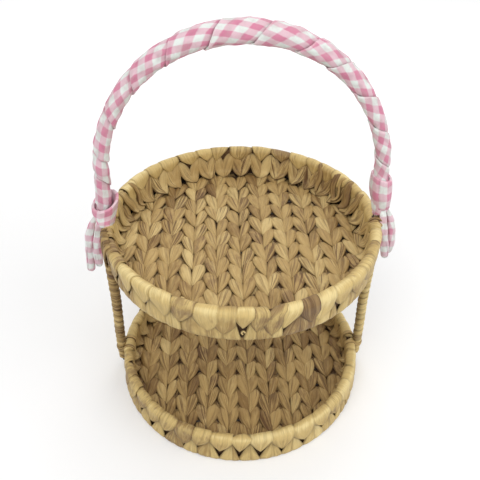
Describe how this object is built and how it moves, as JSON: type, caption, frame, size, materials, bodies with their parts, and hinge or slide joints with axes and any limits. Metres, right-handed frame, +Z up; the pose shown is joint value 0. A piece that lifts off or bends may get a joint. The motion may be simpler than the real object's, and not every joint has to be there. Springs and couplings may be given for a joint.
{
  "type": "two-tier wicker tray",
  "caption": "Round two-tier serving tray woven from dried leaf on an iron rod, with tall side posts and an arched handle wrapped in checked cloth.",
  "frame": {"origin": "on the floor, in the middle of the bounding box, below the middle of the trays", "axes": "+Z up; +X to the right along the line of the two posts; +Y to the back"},
  "size_m": [0.3535, 0.307, 0.4505],
  "materials": {
    "dried_leaf": "dry fibrous leaf, matte, tan with brown patches",
    "pale_leaf": "dry leaf strip, pale straw colour, slightly silky",
    "iron": "dark lacquered iron wire",
    "checked_cloth": "plain-woven cotton in pink and white checks, matte"
  },
  "bodies": {
    "root": {"frame_rod": "iron", "handle_leaf_padding": "dried_leaf", "handle_cloth_wrap": "checked_cloth", "left_knot_cuff": "checked_cloth", "right_knot_cuff": "checked_cloth", "left_outer_tail": "checked_cloth", "left_inner_tail": "checked_cloth", "right_outer_tail": "checked_cloth", "right_inner_tail": "checked_cloth", "left_post_winding": "dried_leaf", "right_post_winding": "dried_leaf", "left_lower_lashing": "dried_leaf", "right_lower_lashing": "dried_leaf", "lower_rim_border": "pale_leaf", "lower_wall_weave": "dried_leaf", "lower_floor_weave": "dried_leaf", "lower_rim_hoop": "iron", "lower_base_hoop": "iron", "lower_floor_rod_01": "iron", "lower_floor_rod_02": "iron", "lower_floor_rod_03": "iron", "lower_floor_rod_04": "iron", "lower_floor_rod_05": "iron", "lower_floor_rod_06": "iron", "lower_floor_rod_07": "iron", "lower_floor_rod_08": "iron", "lower_floor_rod_09": "iron", "lower_floor_rod_10": "iron", "lower_floor_rod_11": "iron", "upper_rim_border": "pale_leaf", "upper_wall_weave": "dried_leaf", "upper_floor_weave": "dried_leaf", "upper_rim_hoop": "iron", "upper_base_hoop": "iron", "upper_floor_rod_01": "iron", "upper_floor_rod_02": "iron", "upper_floor_rod_03": "iron", "upper_floor_rod_04": "iron", "upper_floor_rod_05": "iron", "upper_floor_rod_06": "iron", "upper_floor_rod_07": "iron", "upper_floor_rod_08": "iron", "upper_floor_rod_09": "iron", "upper_floor_rod_10": "iron", "upper_floor_rod_11": "iron"}
  },
  "joints": []
}
